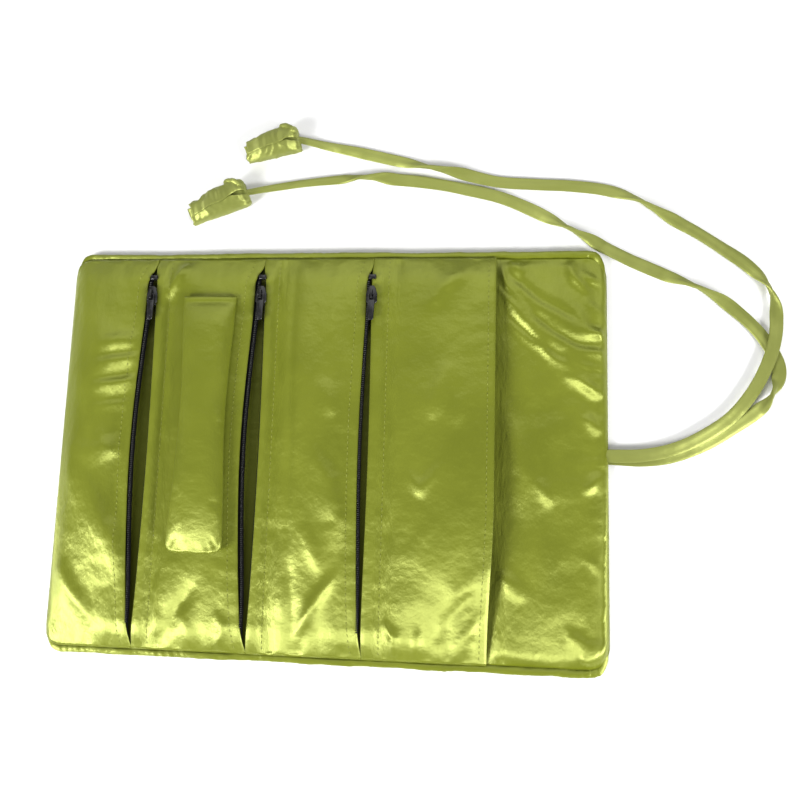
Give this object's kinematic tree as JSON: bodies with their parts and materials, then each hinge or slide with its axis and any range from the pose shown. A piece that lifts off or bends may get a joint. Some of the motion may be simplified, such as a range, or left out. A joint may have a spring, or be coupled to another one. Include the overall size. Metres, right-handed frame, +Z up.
{
  "type": "jewelry roll",
  "caption": "Satin jewelry roll lying open: zip pockets, a slip pocket, a padded ring bar with a snap, piped edges and two tie straps; it folds up section by section.",
  "frame": {"origin": "bottom centre of the open roll, without its ties", "axes": "+X along the row of sections towards the ties, +Y across the sections towards the sliders, +Z up from the table"},
  "size_m": [0.3502, 0.2639, 0.0175],
  "materials": {
    "satin": "satin weave",
    "lining_satin": "satin weave",
    "wadding": "soft wadding",
    "zip_tape": "woven tape",
    "zip_coil": "moulded",
    "zip_metal": "black enamel",
    "snap_metal": "plain"
  },
  "bodies": {
    "panel_5": {"cover_5": "satin", "padding_5": "wadding", "lining_5": "lining_satin", "piping_5": "satin", "tie_a": "satin", "tie_b": "satin", "tie_bud_a": "satin", "tie_bud_b": "satin"},
    "panel_4": {"cover_4": "satin", "padding_4": "wadding", "lining_4": "lining_satin", "piping_top_4": "satin", "piping_bottom_4": "satin", "slip_pocket_front": "lining_satin"},
    "panel_3": {"cover_3": "satin", "padding_3": "wadding", "lining_3": "lining_satin", "piping_top_3": "satin", "piping_bottom_3": "satin", "pocket_front_3": "lining_satin", "pocket_strip_3": "lining_satin", "zip_tape_left_3": "zip_tape", "zip_tape_right_3": "zip_tape", "zip_coil_left_3": "zip_coil", "zip_coil_right_3": "zip_coil", "zip_stop_3": "zip_metal"},
    "panel_2": {"cover_2": "satin", "padding_2": "wadding", "lining_2": "lining_satin", "piping_top_2": "satin", "piping_bottom_2": "satin", "pocket_front_2": "lining_satin", "pocket_strip_2": "lining_satin", "zip_tape_left_2": "zip_tape", "zip_tape_right_2": "zip_tape", "zip_coil_left_2": "zip_coil", "zip_coil_right_2": "zip_coil", "zip_stop_2": "zip_metal", "snap_socket": "snap_metal"},
    "panel_1": {"cover_1": "satin", "padding_1": "wadding", "lining_1": "lining_satin", "piping_1": "satin", "pocket_front_1": "lining_satin", "pocket_strip_1": "lining_satin", "zip_tape_left_1": "zip_tape", "zip_tape_right_1": "zip_tape", "zip_coil_left_1": "zip_coil", "zip_coil_right_1": "zip_coil", "zip_stop_1": "zip_metal"},
    "slider_1": {"zip_slider_1": "zip_metal"},
    "pull_1": {"zip_pull_1": "zip_metal"},
    "slider_2": {"zip_slider_2": "zip_metal"},
    "pull_2": {"zip_pull_2": "zip_metal"},
    "slider_3": {"zip_slider_3": "zip_metal"},
    "pull_3": {"zip_pull_3": "zip_metal"},
    "ring_bar": {"ring_bar_sleeve": "satin", "ring_bar_core": "wadding", "snap_stud": "snap_metal"}
  },
  "joints": [
    {"name": "fold_4", "type": "hinge", "parent": "panel_5", "child": "panel_4", "pos_m": [0.0815, 0, 0.03375], "axis": [0, 1, 0], "range_deg": [0, 180]},
    {"name": "fold_3", "type": "hinge", "parent": "panel_4", "child": "panel_3", "pos_m": [0.0295, 0, 0.02985], "axis": [0, 1, 0], "range_deg": [0, 180]},
    {"name": "fold_2", "type": "hinge", "parent": "panel_3", "child": "panel_2", "pos_m": [-0.0255, 0, 0.023], "axis": [0, 1, 0], "range_deg": [0, 180]},
    {"name": "fold_1", "type": "hinge", "parent": "panel_2", "child": "panel_1", "pos_m": [-0.0815, 0, 0.016], "axis": [0, 1, 0], "range_deg": [0, 180]},
    {"name": "slide_1", "type": "slide", "parent": "panel_1", "child": "slider_1", "axis": [0, -1, 0], "range_m": [0, 0.152]},
    {"name": "pull_1", "type": "hinge", "parent": "slider_1", "child": "pull_1", "pos_m": [-0.0895, 0.076, 0.0114], "axis": [1, 0, 0], "range_deg": [-160, 0]},
    {"name": "slide_2", "type": "slide", "parent": "panel_2", "child": "slider_2", "axis": [0, -1, 0], "range_m": [0, 0.152]},
    {"name": "pull_2", "type": "hinge", "parent": "slider_2", "child": "pull_2", "pos_m": [-0.0335, 0.076, 0.0114], "axis": [1, 0, 0], "range_deg": [-160, 0]},
    {"name": "slide_3", "type": "slide", "parent": "panel_3", "child": "slider_3", "axis": [0, -1, 0], "range_m": [0, 0.152]},
    {"name": "pull_3", "type": "hinge", "parent": "slider_3", "child": "pull_3", "pos_m": [0.0215, 0.076, 0.0114], "axis": [1, 0, 0], "range_deg": [-160, 0]},
    {"name": "ring_bar_lift", "type": "hinge", "parent": "panel_2", "child": "ring_bar", "pos_m": [-0.059, 0.0759, 0.0106], "axis": [1, 0, 0], "range_deg": [-135, 0]}
  ]
}
